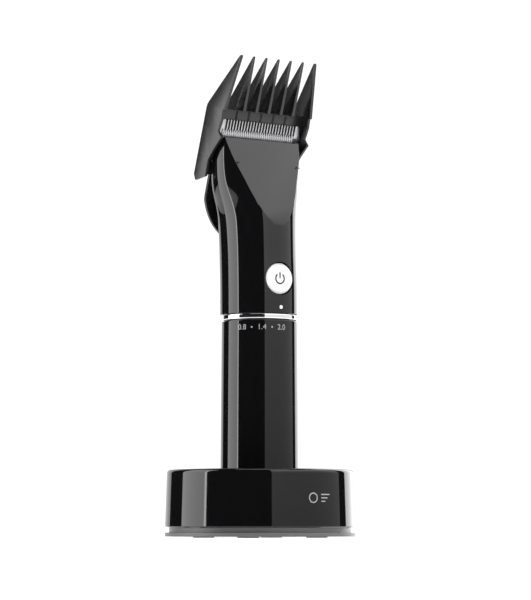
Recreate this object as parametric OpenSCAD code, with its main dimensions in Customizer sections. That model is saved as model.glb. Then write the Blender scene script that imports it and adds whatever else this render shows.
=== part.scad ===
// Cordless hair clipper with a comb guide, standing in a round charging stand.
// Millimetres, +Z up. The origin is the centre of the stand's underside and the front faces -Y.
// The blade frame has its own axes: X across, Y = w towards the rear of the blade, Z = s along it,
// with its origin at the middle of the row of static tooth tips.

/* [Stand] */
// Diameter of the shell at its lower edge
stand_d = 88.7; // [80:0.1:110]
// Diameter of the shell at its top
stand_top_d = 87; // [78:0.1:108]
// Height of the stand's top above the ground
stand_h = 31.5; // [28:0.5:45]
// Wall of the shell
stand_wall = 2.4; // [1.6:0.1:3.5]
// Height of the rubber feet below the base plate
foot_h = 0.5; // [0.3:0.1:1.5]
// Diameter of the base plate
plate_d = 89.2; // [80:0.1:112]
// Thickness of the base plate
plate_h = 1.9; // [1.5:0.1:3]
// Diameter of the recessed band above the base plate
band_d = 85; // [76:0.5:106]
// Height of the recessed band
band_h = 2.5; // [1.5:0.1:4]
// Height of the socket floor above the ground
socket_floor_z = 11.7; // [11:0.1:14]
// Wall of the socket cup
cup_wall = 1.5; // [1:0.1:2.5]
// Bore of the low-voltage inlet
jack_bore_d = 5.6; // [4:0.1:6.5]

/* [Grip] */
// Diameter of the turning sleeve at its top
grip_d = 36; // [32:0.5:42]
// Diameter of the turning sleeve at its bottom
grip_foot_d = 37; // [33:0.5:43]
// Bore of the turning sleeve
sleeve_bore_d = 32.4; // [29:0.1:36]
// Height of the sleeve's top edge above the ground
sleeve_top_z = 101.1; // [95:0.5:115]
// Outer diameter of the fixed core tube
core_d = 30.4; // [27:0.1:34]
// Wall of the core tube
core_wall = 1.3; // [1:0.1:2]
// Radial running clearance between the sleeve and the core's bearing lands
run_gap = 0.08; // [0.04:0.01:0.1]
// Height of the chrome ring
ring_h = 2.2; // [1.5:0.1:4]
// Gap above and below the chrome ring
ring_gap = 0.5; // [0.3:0.1:0.8]
// Angle through which the sleeve turns from the longest cut to the shortest
dial_range = 58; // [40:1:90]
// Number of detent steps in that angle
dial_steps = 4; // [2:1:6]

/* [Head] */
// Half the housing's diameter where it meets the chrome ring
neck_r = 18; // [16:0.5:21]
// Wall of the housing
wall = 2; // [1.5:0.1:2.5]
// Angle of the front facet from the vertical
facet_angle = 20; // [16:0.5:22]
// Height of the head's top edge above the ground
head_top_z = 187.1; // [186.5:0.1:187.5]
// Distance of the facet's top edge in front of the axis
facet_top_y = -1.8; // [-2.4:0.1:-1.6]
// Plane that parts the front and rear housings
seam_y = 8; // [7.5:0.1:8.5]
// Lean of the blade plane from the vertical
blade_tilt = 20; // [18:0.5:22]
// Height of the static tooth tips above the ground
tip_z = 195.7; // [195.5:0.1:196.5]
// Distance of the tooth tips in front of the axis
tip_y = -1.3; // [-1.6:0.1:-1]

/* [Controls] */
// Diameter of the power button
button_d = 14.5; // [10:0.1:16]
// Gap around the power button
button_gap = 0.5; // [0.3:0.05:0.8]
// Height of the power button above the ground
button_z = 120.4; // [118:0.1:124]
// Distance of the button's face in front of the axis
button_face = 16.9; // [16.6:0.1:17.4]
// Travel of the power button
button_travel = 0.8; // [0.4:0.1:0.8]
// Diameter of the indicator light
led_d = 2; // [1.5:0.1:3]
// Height of the indicator light above the ground
led_z = 107; // [106.5:0.1:109]

/* [Blades] */
// Thickness of the static blade
static_t = 1; // [0.8:0.1:1.2]
// Half width of the static blade at its tooth tips
static_tip_half = 20.9; // [18:0.1:21]
// Half width of the static blade at the corners of its end teeth
static_half = 23.3; // [22:0.1:23.5]
// Thickness of the moving blade
cutter_t = 1; // [0.8:0.1:1.2]
// Half width of the moving blade
cutter_half = 20; // [18:0.1:20]
// Sliding gap between the two blades
blade_gap = 0.05; // [0.03:0.01:0.1]
// Pitch of the static teeth
static_pitch = 1.6; // [1.4:0.1:2]
// Pitch of the moving teeth
cutter_pitch = 1.2; // [1:0.1:1.6]
// Offset of the eccentric pin, which is half the cutting stroke
eccentric = 1.2; // [0.6:0.1:1.2]
// Travel of the moving blade between the shortest and the longest cut
length_travel = 1.2; // [0.8:0.1:1.2]

/* [Motor and battery] */
// Diameter of the motor can
motor_d = 20.4; // [18:0.1:20.4]
// Width of the motor can across its flats
motor_flat = 15.4; // [14:0.1:15.4]
// Height of the motor can's lower end above the ground
motor_z = 113; // [112.5:0.1:114]
// Length of the motor can
motor_l = 28; // [24:0.5:29]
// Distance of the motor shaft behind the axis
motor_y = 1; // [0.5:0.1:1.5]
// Diameter of the motor shaft
shaft_d = 2; // [1.5:0.1:2.3]
// Diameter of the battery cell
cell_d = 18.4; // [14:0.1:18.6]
// Length of the battery cell
cell_l = 65; // [50:0.5:70]

/* [Comb] */
// Number of fins, the two outer ones included
fin_count = 7; // [5:2:9]
// Thickness of a fin
fin_t = 1.5; // [1:0.1:2]
// Half width of the comb across its fin tips
comb_tip_half = 21.4; // [20:0.1:22]
// Inner half width between the comb's side plates
comb_inner_half = 23.6; // [23.55:0.05:24.5]
// Thickness of the side plates and of the rear wall
comb_wall = 1.4; // [1.2:0.1:1.8]
// Reach of the fin tips above the tooth tips, along the blade
fin_reach = 31.7; // [26:0.1:40]
// Distance of the fins' rear edges behind the blade
fin_back = 11.2; // [10.8:0.1:13]

/* [Hidden] */
$fn = 72;
eps = 0.01;
far = 60;
fit = 0.05;       // radial play where two fixed pieces are assembled
plate_z = foot_h;
band_z = plate_z + plate_h;
shell_z = band_z + band_h;
cup_r = grip_foot_d / 2 + 0.45;
cup_top_z = stand_h - stand_wall;
sleeve_z = 13.9;
cap_z = 12;
cap_t = sleeve_z - 0.3 - cap_z;
core_z = sleeve_z - 0.15;
core_in_r = core_d / 2 - core_wall;
ring_z = sleeve_top_z + ring_gap;
housing_z = ring_z + ring_h + ring_gap;
core_top_z = housing_z + 1.7;
boss_ring_r = band_d / 2 - 8.5;
jack_z = 15;
jack_face_y = stand_d / 2 - 0.9;
jack_throat = 4.5;
jack_depth = 9;
board_y = -12;
cam_pin_z = sleeve_top_z - 4;
rod_x = 11.5;
rod_t = 1.8;
screw_x = 13;
blade_screw_x = 8;
blade_screw_s = -23.4;
pad_x = 7;
drive_pin_r = 0.9;
screw_heights = [housing_z + 6, motor_z + 23];
shaft_top = motor_z + motor_l + 10;
pin_top = shaft_top + 7.5;

// Height, half width, reach to the front, reach to the rear and centre of each housing section
SECTIONS = [[100, neck_r, neck_r, neck_r, 0],
            [118, neck_r, neck_r, neck_r, 0.2],
            [132, neck_r - 0.1, neck_r, neck_r + 0.1, 0.8],
            [143, neck_r + 0.1, neck_r + 0.4, neck_r - 0.4, 1.5],
            [150, neck_r + 0.5, neck_r + 0.6, neck_r - 0.6, 2],
            [156, neck_r + 1.5, neck_r + 0.5, neck_r - 0.9, 2.7],
            [162, neck_r + 2.9, neck_r, neck_r - 1.1, 3.3],
            [168, neck_r + 3.8, neck_r - 1, neck_r - 1.8, 3.6],
            [176, neck_r + 4.2, neck_r - 2, neck_r - 3.2, 3.4],
            [190, neck_r + 4, neck_r - 3, neck_r - 4.5, 3]];
SIDES = 48;

// Fixed lines of the head, each as [w, s] in the blade frame
wedge_top = [1.6, -10];
wedge_low = [8.65, -29.4];

function section_point(sec, a, inset) =
    let (n = sin(a) > 0 ? 2.3 : 2,
         reach = sin(a) > 0 ? sec[3] : sec[2],
         cx = cos(a), sy = sin(a),
         px = sign(cx) * pow(abs(cx), 2 / n), py = sign(sy) * pow(abs(sy), 2 / n))
    [(sec[1] - inset) * px, (reach - inset) * py + sec[4], sec[0]];

// Solid through a list of housing sections, drawn in by inset
module loft(inset) {
    n = len(SECTIONS);
    points = [for (sec = SECTIONS) for (i = [0:SIDES - 1]) section_point(sec, i * 360 / SIDES, inset)];
    sides = [for (k = [0:n - 2]) for (i = [0:SIDES - 1])
             let (j = (i + 1) % SIDES, a = k * SIDES, b = a + SIDES)
             each [[a + i, b + i, b + j], [a + i, b + j, a + j]]];
    bottom = [for (i = [0:SIDES - 1]) i];
    top = [for (i = [0:SIDES - 1]) n * SIDES - 1 - i];
    polyhedron(points, concat([bottom, top], sides));
}

module at_blade() {
    translate([0, tip_y, tip_z]) rotate([blade_tilt, 0, 0]) children();
}

// Extrudes a [y, z] outline along X, centred
module across(width, outline) {
    rotate([90, 0, 90]) translate([0, 0, -width / 2]) linear_extrude(width) polygon(outline);
}

module in_front_of_facet(depth) {
    translate([0, facet_top_y + depth / cos(facet_angle), head_top_z]) rotate([-facet_angle, 0, 0])
        translate([-far, -far, -2 * far]) cube([2 * far, far, 3 * far]);
}

// Everything behind the sloping back of the head, above the housing's rear
module behind_wedge() {
    at_blade() across(4 * far, [wedge_top, wedge_low, [wedge_low[0], -45], [far, -45],
                                [far, 30], [wedge_top[0], 30]]);
}

module head_solid() {
    difference() {
        loft(0);
        in_front_of_facet(0);
        behind_wedge();
        translate([-far, -far, 98]) cube([2 * far, 2 * far, housing_z - 98]);
        translate([-far, -far, head_top_z]) cube([2 * far, 2 * far, 20]);
    }
}

module head_cavity() {
    difference() {
        loft(wall);
        in_front_of_facet(wall);
        at_blade() translate([-far, -0.1, -24]) cube([2 * far, far, 60]);
        at_blade() translate([-far, 4, -32]) cube([2 * far, far, 60]);
    }
}

// Front part of the head: ahead of the seam below and ahead of the blade plane above
module front_side() {
    seam_s = -(seam_y - tip_y) / sin(blade_tilt);
    seam_z = tip_z + seam_s * cos(blade_tilt);
    across(4 * far, [[-far, 90], [seam_y - fit, 90], [seam_y - fit, seam_z],
                     [tip_y - 10 * sin(blade_tilt) - 0.1, tip_z + 10 * cos(blade_tilt)], [-far, 210]]);
}

module blade_slot() {
    at_blade() translate([-far, -0.1, -26.2]) cube([2 * far, static_t + 0.2, 60]);
}

// Places children at each housing screw, with their Z towards the rear
module at_housing_screws() {
    for (x = [-screw_x, screw_x], z = screw_heights) translate([x, 0, z]) rotate([-90, 0, 0]) children();
}

// Places children at each blade screw, with their Z towards the rear of the blade
module at_blade_screws() {
    at_blade() for (x = [-blade_screw_x, blade_screw_x]) translate([x, 0, blade_screw_s])
        rotate([-90, 0, 0]) children();
}

module screw_bosses(y0, y1) {
    intersection() {
        loft(wall / 2);
        at_housing_screws() translate([0, 0, y0]) cylinder(r = 2.3, h = y1 - y0);
    }
}

module front_housing() {
    color([0.03, 0.03, 0.035]) difference() {
        union() {
            difference() {
                intersection() { head_solid(); front_side(); }
                head_cavity();
                blade_slot();
            }
            screw_bosses(3.2, seam_y - fit);
        }
        at_housing_screws() translate([0, 0, 3.6]) cylinder(d = 2.3, h = 10, $fn = 32);
        translate([0, -25, button_z]) rotate([-90, 0, 0]) cylinder(d = button_d + 2 * button_gap, h = 12);
        translate([0, -25, led_z]) rotate([-90, 0, 0]) cylinder(d = led_d + 2 * fit, h = 12, $fn = 32);
    }
}

module rear_housing() {
    color([0.03, 0.03, 0.035]) difference() {
        union() {
            difference() {
                head_solid();
                front_side();
                translate([-far, -far, 90]) cube([2 * far, far + seam_y, 80]);
                head_cavity();
                blade_slot();
            }
            screw_bosses(seam_y, 12);
        }
        at_housing_screws() {
            translate([0, 0, 5]) cylinder(d = 2.5, h = 10, $fn = 32);
            translate([0, 0, 10.4]) cylinder(d = 4.6, h = 10, $fn = 32);
        }
        at_blade_screws() cylinder(d = 2.1, h = 5, $fn = 32);
    }
}

module housing_screws() {
    color("silver") at_housing_screws() {
        translate([0, 0, 3.9]) cylinder(d = 2.2, h = 6.6, $fn = 32);
        difference() {
            translate([0, 0, 10.45]) cylinder(d = 4.2, h = 1.2, $fn = 32);
            translate([0, 0, 11.2]) cylinder(d = 1.8, h = 2, $fn = 6);
        }
    }
}

// ---- Stand ----
module at_bosses() {
    for (i = [0:2]) rotate(150 + i * 120) translate([boss_ring_r, 0, 0]) children();
}

module at_feet() {
    for (i = [0:3]) rotate(45 + i * 90) translate([boss_ring_r - 7, 0, 0]) children();
}

module stand_shell() {
    r0 = stand_d / 2;
    r1 = stand_top_d / 2;
    lip = 1.1;
    color([0.03, 0.03, 0.035]) difference() {
        union() {
            rotate_extrude($fn = 144) union() {
                polygon([[cup_r, stand_h], [r1 - lip, stand_h], [r1, stand_h - lip], [r0, shell_z],
                         [r0 - stand_wall, shell_z], [r1 - stand_wall, cup_top_z], [cup_r, cup_top_z]]);
                translate([r1 - lip, stand_h - lip]) circle(r = lip, $fn = 48);
            }
            at_bosses() translate([0, 0, shell_z + 0.1])
                cylinder(r = 3.4, h = cup_top_z - shell_z, $fn = 48);
        }
        at_bosses() translate([0, 0, shell_z - 1])
            cylinder(d = 2.6, h = 14, $fn = 32);
        translate([0, stand_d / 2 - 8, jack_z]) rotate([-90, 0, 0]) cylinder(r = 4.6, h = 12, $fn = 48);
    }
}

module stand_socket() {
    out_r = cup_r + cup_wall;
    floor_z = socket_floor_z - 1.6;
    color([0.08, 0.08, 0.09]) difference() {
        union() {
            translate([0, 0, floor_z]) cylinder(r = out_r, h = cup_top_z - fit - floor_z, $fn = 96);
            translate([0, 0, cup_top_z - fit - 1.5]) cylinder(r = out_r + 3, h = 1.5, $fn = 96);
        }
        translate([0, 0, socket_floor_z]) cylinder(r = cup_r, h = stand_h, $fn = 96);
        for (x = [-pad_x, pad_x]) translate([x, 0, floor_z - 1]) cylinder(r = 1.1, h = 5, $fn = 32);
    }
}

module stand_base() {
    color([0.55, 0.55, 0.56]) difference() {
        union() {
            translate([0, 0, plate_z]) cylinder(d = plate_d, h = plate_h, $fn = 144);
            translate([0, 0, plate_z]) cylinder(d = band_d, h = shell_z - plate_z - fit, $fn = 144);
        }
        difference() {
            translate([0, 0, band_z]) cylinder(d = band_d - 5, h = 20, $fn = 144);
            at_bosses()
                cylinder(r = 4.5, h = shell_z - fit, $fn = 48);
        }
        at_bosses() translate([0, 0, -1]) {
            cylinder(d = 3.4, h = 20, $fn = 32);
            cylinder(d = 6.4, h = 1 + plate_z + 1.2, $fn = 32);
        }
        at_feet() translate([0, 0, -1]) cylinder(r = 5.05, h = 1 + plate_z + 0.9, $fn = 48);
    }
}

module stand_weight() {
    color("gray") difference() {
        translate([0, 0, band_z + 0.1]) cylinder(r = 28, h = 5.5, $fn = 96);
        cylinder(r = 22.5, h = 20, $fn = 96);
    }
}

module stand_feet() {
    color([0.1, 0.1, 0.1]) at_feet()
        cylinder(r = 5, h = plate_z + 0.85, $fn = 48);
}

module stand_screws() {
    head_z = plate_z + 0.1;
    color("silver") at_bosses() translate([0, 0, head_z]) difference() {
        union() {
            cylinder(d = 5.8, h = 1.05, $fn = 32);
            cylinder(d = 2.5, h = 14, $fn = 32);
        }
        translate([0, 0, -1]) cylinder(d = 2.2, h = 1.5, $fn = 6);
    }
}

module stand_board() {
    z = 6.2;
    color([0.05, 0.3, 0.12]) difference() {
        translate([-13, -10, z]) cube([26, 20, 1.6]);
        for (x = [-pad_x, pad_x]) translate([x, 0, z - 1]) cylinder(r = 1.15, h = 5, $fn = 32);
    }
    color([0.05, 0.3, 0.12]) for (x = [-11.5, 11.5], y = [-8.5, 8.5])
        translate([x, y, band_z + 0.02]) cylinder(r = 1.5, h = z - band_z - 0.02, $fn = 32);
}

module stand_jack() {
    color([0.1, 0.1, 0.1]) {
        difference() {
            union() {
                translate([0, stand_d / 2 - 6, jack_z]) rotate([-90, 0, 0])
                    cylinder(r = 4.55, h = jack_face_y - stand_d / 2 + 6, $fn = 48);
                translate([-5, stand_d / 2 - 15, jack_z - 5]) cube([10, 11, 10]);
            }
            translate([0, jack_face_y - jack_throat, jack_z]) rotate([-90, 0, 0])
                cylinder(d = jack_bore_d, h = 12, $fn = 48);
            translate([0, jack_face_y - jack_depth, jack_z]) rotate([-90, 0, 0])
                cylinder(d = jack_bore_d + 0.8, h = jack_depth - jack_throat, $fn = 48);
        }
        translate([0, jack_face_y - jack_depth - 1, jack_z]) rotate([-90, 0, 0])
            cylinder(d = 1.9, h = jack_depth + 0.8 - jack_throat, $fn = 32);
    }
}

module charge_pins() {
    foot_z = 5;
    color("gold") for (x = [-pad_x, pad_x])
        translate([x, 0, foot_z]) cylinder(r = 1, h = cap_z - foot_z - fit, $fn = 32);
}

// ---- Grip ----
module handle_sleeve() {
    r0 = grip_foot_d / 2;
    r1 = grip_d / 2;
    br = sleeve_bore_d / 2;
    edge = 0.4;
    color([0.03, 0.03, 0.035]) difference() {
        rotate_extrude($fn = 144) polygon([[br, sleeve_z], [r0 - edge, sleeve_z], [r0, sleeve_z + edge],
            [r0, stand_h], [r1, sleeve_top_z - edge], [r1 - edge, sleeve_top_z], [br, sleeve_top_z]]);
        for (i = [0:dial_steps]) rotate(180 - i * dial_range / dial_steps)
            translate([br, 0, 60]) cylinder(r = 0.6, h = 8, $fn = 32);
    }
}

module dial_cam() {
    steps = 20;
    r_in = core_d / 2 + 0.15;
    r_out = sleeve_bore_d / 2;
    color([0.85, 0.85, 0.8]) difference() {
        translate([0, 0, cam_pin_z - 3]) cylinder(r = r_out, h = 7, $fn = 96);
        translate([0, 0, cam_pin_z - 4]) cylinder(r = r_in, h = 10, $fn = 96);
        for (i = [0:steps]) rotate(-i * dial_range / steps)
            translate([r_in - 1, 0, cam_pin_z + i * length_travel / steps / cos(blade_tilt)])
                rotate([0, 90, 0]) cylinder(r = 1.15, h = 4, $fn = 32);
    }
}

module core_tube() {
    land_r = sleeve_bore_d / 2 - run_gap;
    color([0.2, 0.2, 0.22]) difference() {
        union() {
            translate([0, 0, core_z]) cylinder(d = core_d, h = core_top_z - core_z, $fn = 96);
            translate([0, 0, 17]) cylinder(r = land_r, h = 4, $fn = 96);
            translate([0, 0, cam_pin_z - 8]) cylinder(r = land_r, h = 4, $fn = 96);
            translate([0, 0, housing_z + fit])
                cylinder(r = neck_r - wall - fit, h = core_top_z - housing_z - fit, $fn = 96);
        }
        translate([0, 0, 10]) cylinder(r = core_in_r, h = 120, $fn = 96);
        translate([5, -1.4, cam_pin_z - 1.6]) cube([15, 2.8, 4.8]);
        rotate(180) translate([core_d / 2 - 4, -2, 61]) cube([5, 4, 6]);
    }
}

module chrome_ring() {
    color([0.85, 0.85, 0.87]) difference() {
        translate([0, 0, ring_z]) cylinder(r = neck_r + 0.05, h = ring_h, $fn = 144);
        translate([0, 0, ring_z - 1]) cylinder(r = core_d / 2 + fit, h = 10, $fn = 96);
    }
}

module end_cap() {
    color([0.06, 0.06, 0.07]) difference() {
        union() {
            translate([0, 0, cap_z]) cylinder(r = grip_foot_d / 2 - 0.3, h = cap_t, $fn = 96);
            translate([0, 0, cap_z]) cylinder(r = core_in_r - fit, h = 5, $fn = 96);
        }
        for (x = [-pad_x, pad_x]) translate([x, 0, cap_z - 1]) cylinder(r = 2.55, h = 2.05, $fn = 48);
        translate([0, 0, cap_z + 2.5]) cylinder(r = core_in_r - 2, h = 10, $fn = 96);
    }
}

module charge_pads() {
    color("gold") for (x = [-pad_x, pad_x]) translate([x, 0, cap_z]) cylinder(r = 2.5, h = 1, $fn = 48);
}

module battery_cell() {
    color([0.2, 0.45, 0.6]) translate([0, 4, 20]) {
        cylinder(d = cell_d, h = cell_l - 1, $fn = 72);
        cylinder(d = 6, h = cell_l, $fn = 48);
    }
}

module battery_tabs() {
    color("silver") {
        translate([-3, -4, 19.6]) cube([6, 12, 0.35]);
        translate([-3, -4, 20 + cell_l + 0.05]) cube([6, 12, 0.35]);
    }
}

module detent_spring() {
    color("silver") rotate(180) {
        translate([core_in_r - 0.7, -1.5, 54]) cube([0.55, 3, 20]);
        intersection() {
            translate([core_d / 2 - 0.6, 0, 62]) cylinder(r = 1.4, h = 4, $fn = 32);
            cylinder(r = sleeve_bore_d / 2 - run_gap, h = 100, $fn = 96);
        }
    }
}

// ---- Inside the head ----
module main_board() {
    color([0.05, 0.3, 0.12]) translate([-8, board_y, housing_z + 2]) cube([16, 1.2, 33]);
}

module tact_switch() {
    color([0.7, 0.7, 0.72]) translate([-3, board_y - 1.6, button_z - 3]) cube([6, 1.55, 6]);
    color([0.1, 0.1, 0.1]) translate([0, board_y - 1.95, button_z]) rotate([-90, 0, 0])
        cylinder(r = 1.6, h = 0.5, $fn = 32);
}

module power_button() {
    stem_tip = board_y - 2 - button_travel - 0.05;
    color("white") difference() {
        union() {
            translate([0, -button_face, button_z]) rotate([-90, 0, 0]) cylinder(d = button_d, h = 1.4);
            translate([0, -button_face + 1, button_z]) rotate([-90, 0, 0])
                cylinder(r = 2.2, h = stem_tip + button_face - 1, $fn = 48);
        }
        translate([0, -button_face - 1, button_z]) rotate([-90, 0, 0]) difference() {
            cylinder(r = 2.5, h = 1.15, $fn = 48);
            cylinder(r = 2.0, h = 3, center = true, $fn = 48);
            translate([-1, -3, -1]) cube([2, 2, 4]);
        }
        translate([-0.25, -button_face - 1, button_z]) cube([0.5, 1.15, 2.7]);
    }
}

module indicator_light() {
    color([0.9, 0.92, 1]) translate([0, -neck_r, led_z]) rotate([-90, 0, 0])
        cylinder(d = led_d, h = neck_r + board_y - 0.1, $fn = 32);
}

module motor_can() {
    color([0.7, 0.7, 0.72]) translate([0, motor_y, motor_z]) {
        intersection() {
            cylinder(d = motor_d, h = motor_l);
            translate([-motor_flat / 2, -far / 2, 0]) cube([motor_flat, far, motor_l]);
        }
        difference() {
            translate([0, 0, motor_l - eps]) cylinder(r = 3, h = 1.5, $fn = 48);
            translate([0, 0, motor_l]) cylinder(d = shaft_d + 0.1, h = 5, $fn = 32);
        }
    }
}

module motor_end_cap() {
    h = motor_z - core_top_z - 0.7;
    color("white") translate([0, motor_y, motor_z - h]) intersection() {
        cylinder(d = motor_d - 0.6, h = h - 0.02);
        translate([-motor_flat / 2 + 0.3, -far / 2, 0]) cube([motor_flat - 0.6, far, h]);
    }
}

module motor_bracket() {
    z = motor_z + motor_l + 0.02;
    color([0.3, 0.3, 0.32]) difference() {
        translate([0, motor_y, z]) cylinder(r = neck_r - wall - 0.6, h = 1.4, $fn = 72);
        translate([0, motor_y, z - 1]) cylinder(r = 3.05, h = 5, $fn = 48);
        translate([rod_x - 0.6, -3, z - 1]) cube([10, 10, 5]);
        translate([-far, -far - 11, z - 1]) cube([2 * far, far, 5]);
        for (y = [-6.5, 6.5]) translate([0, motor_y + y, z - 1]) cylinder(r = 0.95, h = 5, $fn = 32);
    }
}

module motor_screws() {
    z = motor_z + motor_l + 1.45;
    color("silver") for (y = [-6.5, 6.5]) translate([0, motor_y + y, z]) {
        cylinder(r = 1.7, h = 1, $fn = 32);
        translate([0, 0, -1.4]) cylinder(r = 0.85, h = 1.5, $fn = 32);
    }
}

module motor_shaft() {
    shaft_z = motor_z + motor_l + 0.05;
    color("silver") translate([0, motor_y, shaft_z]) cylinder(d = shaft_d, h = shaft_top - shaft_z, $fn = 48);
}

module eccentric_cam() {
    z = motor_z + motor_l + 4;
    color([0.9, 0.9, 0.88]) translate([0, motor_y, 0]) {
        difference() {
            translate([0, 0, z]) cylinder(r = 3.4, h = shaft_top + 1 - z, $fn = 48);
            translate([0, 0, z - 1]) cylinder(d = shaft_d + 0.02, h = shaft_top - z + 1.02, $fn = 48);
        }
        translate([-eccentric, 0, shaft_top + 1 - eps])
            cylinder(r = drive_pin_r, h = pin_top - shaft_top - 1, $fn = 32);
    }
}

// The fork clears the eccentric pin on its whole circle and over the blade's whole stroke
module drive_yoke() {
    play = 0.25;
    slot_lo = -3 * eccentric - drive_pin_r - play;
    slot_hi = eccentric + drive_pin_r + play;
    fork_z = shaft_top + 4;
    front_y = motor_y - 5;
    arm_y = -0.9;
    arm_top = 181.5;
    jog_z = fork_z + 12;
    color([0.15, 0.15, 0.16]) difference() {
        union() {
            translate([slot_lo - 1.6, front_y, fork_z]) cube([slot_hi - slot_lo + 3.2, 9, 3]);
            translate([-3.5 - eccentric, front_y, fork_z]) cube([7, 2, jog_z + 2 - fork_z]);
            translate([-3.5 - eccentric, front_y, jog_z]) cube([7, arm_y + 2.2 - front_y, 2]);
            translate([-3.5 - eccentric, arm_y, jog_z]) cube([7, 2.2, arm_top - jog_z]);
            at_blade() translate([-6 - eccentric, -3, -16.5])
                cube([12, 3 - blade_gap - cutter_t - fit, 4.5]);
        }
        translate([slot_lo, motor_y - 2.35, fork_z - 1]) cube([slot_hi - slot_lo, 4.7, 5]);
    }
}

module adjust_rod() {
    bend_z = 148;
    top = [3.6, 175.4];
    color([0.85, 0.85, 0.8]) {
        translate([rod_x, -2, cam_pin_z - 2]) cube([rod_t, 4, bend_z - cam_pin_z + 2]);
        translate([rod_x, -2, bend_z - 4]) cube([rod_t, top[0] + 4, 4]);
        translate([rod_x, top[0], bend_z - 4]) cube([rod_t, 2, top[1] - bend_z + 4]);
        translate([rod_x + 0.5, 0, cam_pin_z]) rotate([0, 90, 0])
            cylinder(r = 0.95, h = sleeve_bore_d / 2 - 0.15 - rod_x - 0.5, $fn = 32);
    }
}

module blade_mount() {
    color([0.2, 0.2, 0.22]) difference() {
        at_blade() translate([0.9 - rod_x, -4, -26]) cube([2 * rod_x - 1.8, 3.85, 4.4]);
        at_blade_screws() translate([0, 0, -6]) cylinder(d = 2.1, h = 10, $fn = 32);
    }
}

// Steel comb-toothed plate: straight teeth between two broad slanted end teeth
module static_blade() {
    root = -5.6;
    body = 20.2;
    slot = 1;
    end_tooth = 1.2;
    count = floor((static_tip_half - end_tooth - slot / 2) / static_pitch);
    color([0.72, 0.72, 0.74]) difference() {
        at_blade() rotate([90, 0, 0]) translate([0, 0, -static_t]) linear_extrude(static_t)
            polygon([[-body, -25.8], [body, -25.8], [body, -9], [static_half, -6.6],
                     [static_tip_half + 0.6, -0.4], [static_tip_half, 0], [-static_tip_half, 0],
                     [-static_tip_half - 0.6, -0.4], [-static_half, -6.6], [-body, -9]]);
        at_blade() for (i = [-count:count]) translate([i * static_pitch - slot / 2, -1, root]) cube([slot, 4, 10]);
        at_blade_screws() translate([0, 0, -1]) cylinder(d = 2.1, h = 4, $fn = 32);
    }
}

module blade_screws() {
    color("silver") at_blade_screws() {
        translate([0, 0, -4.05]) cylinder(d = 2, h = 8.6, $fn = 32);
        difference() {
            translate([0, 0, -5.2]) cylinder(d = 3.6, h = 1.15, $fn = 32);
            translate([0, 0, -6]) cylinder(d = 1.6, h = 1.3, $fn = 6);
        }
    }
}

module moving_blade() {
    tip = -4.6;
    root = -5.9;
    low = -17;
    narrow = 16.5;
    slot = 0.6;
    count = floor((cutter_half - 0.8) / cutter_pitch);
    color([0.62, 0.62, 0.64]) at_blade() translate([-eccentric, -blade_gap - cutter_t, 0]) difference() {
        rotate([90, 0, 0]) translate([0, 0, -cutter_t]) linear_extrude(cutter_t)
            polygon([[-narrow, low], [narrow, low], [narrow, -8.6], [cutter_half, -8.6], [cutter_half, tip],
                     [-cutter_half, tip], [-cutter_half, -8.6], [-narrow, -8.6]]);
        for (i = [-count:count - 1]) translate([(i + 0.5) * cutter_pitch - slot / 2, -1, root])
            cube([slot, 4, 4]);
    }
}

module cutter_carriage() {
    color([0.85, 0.85, 0.8]) at_blade() translate([-15, -1.9, -20.5]) cube([30, 1.75, 3.3]);
}

module tension_spring() {
    wire = 0.5;
    run = [8, 2.2];
    leg_x = 9.5;
    low = -20.9;
    color("silver") at_blade() {
        translate([-leg_x, -4.2, low]) rotate([0, 90, 0]) cylinder(r = wire, h = 2 * leg_x, $fn = 24);
        for (x = [-leg_x, leg_x]) translate([x, -4.2, low]) rotate([-atan2(run[1], run[0]), 0, 0])
            cylinder(r = wire, h = norm(run), $fn = 24);
    }
}

// ---- Comb guide ----
function fin_x(i) = -comb_tip_half + fin_t / 2 + i * (2 * comb_tip_half - fin_t) / (fin_count - 1);

FIN = [[-4.6, fin_reach - 0.9], [-4.3, fin_reach], [-3.6, fin_reach - 0.5], [fin_back, 4.5],
       [fin_back, -28], [fin_back - 1.2, -29.4], [2.4, -9.2], [1.4, -8.4], [1.4, 4.8], [-4.6, 5.2]];
SIDE_LOW = [[fin_back, 4.5], [fin_back, -29.4], [9, -32], [1.1, -28], [1.4, -20.5], [-1.8, -14.3],
            [-6.3, -7.7], [-2.6, -5.5], [-3.7, 0.2], [-3.3, 4.5], [-4.6, 4.9]];
SIDE_TOP = [[-4.6, fin_reach - 0.9], [-4.3, fin_reach], [-3.6, fin_reach - 0.5], [fin_back, 4.5],
            [-4.6, 4.4]];

module tongue() {
    half = 17;
    drop = 23;
    top = 164;
    arc = [for (a = [180:9:360]) [half * cos(a), top + drop * sin(a)]];
    line = [[21.6, 140], [21.5, 160.5], [16.9, 173.8], [18.4, 174.3], [23, 161.2], [23.3, 140]];
    intersection() {
        across(3 * far, line);
        rotate([90, 0, 0]) translate([0, 0, -far]) linear_extrude(2 * far)
            polygon(concat(arc, [[half + 5, 176], [-half - 5, 176]]));
    }
}

module comb_guide() {
    splay = atan2(comb_inner_half + comb_wall - comb_tip_half, fin_reach - 4.5);
    plate_half = comb_inner_half + 0.2;
    color([0.09, 0.09, 0.1]) {
        at_blade() {
            for (i = [1:fin_count - 2]) translate([fin_x(i), 0, 0]) across(fin_t, FIN);
            for (side = [-1, 1]) {
                translate([side * (comb_inner_half + comb_wall / 2), 0, 0]) across(comb_wall, SIDE_LOW);
                translate([side * (comb_inner_half + comb_wall / 2), 0, 4.5]) rotate([0, -side * splay, 0])
                    translate([0, 0, -4.5]) across(comb_wall, SIDE_TOP);
            }
            translate([-plate_half, 1.4, -8.2]) cube([2 * plate_half, 1.5, 13]);
            translate([-plate_half, fin_back - comb_wall, -29]) cube([2 * plate_half, comb_wall, 12]);
        }
        tongue();
    }
}

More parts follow.
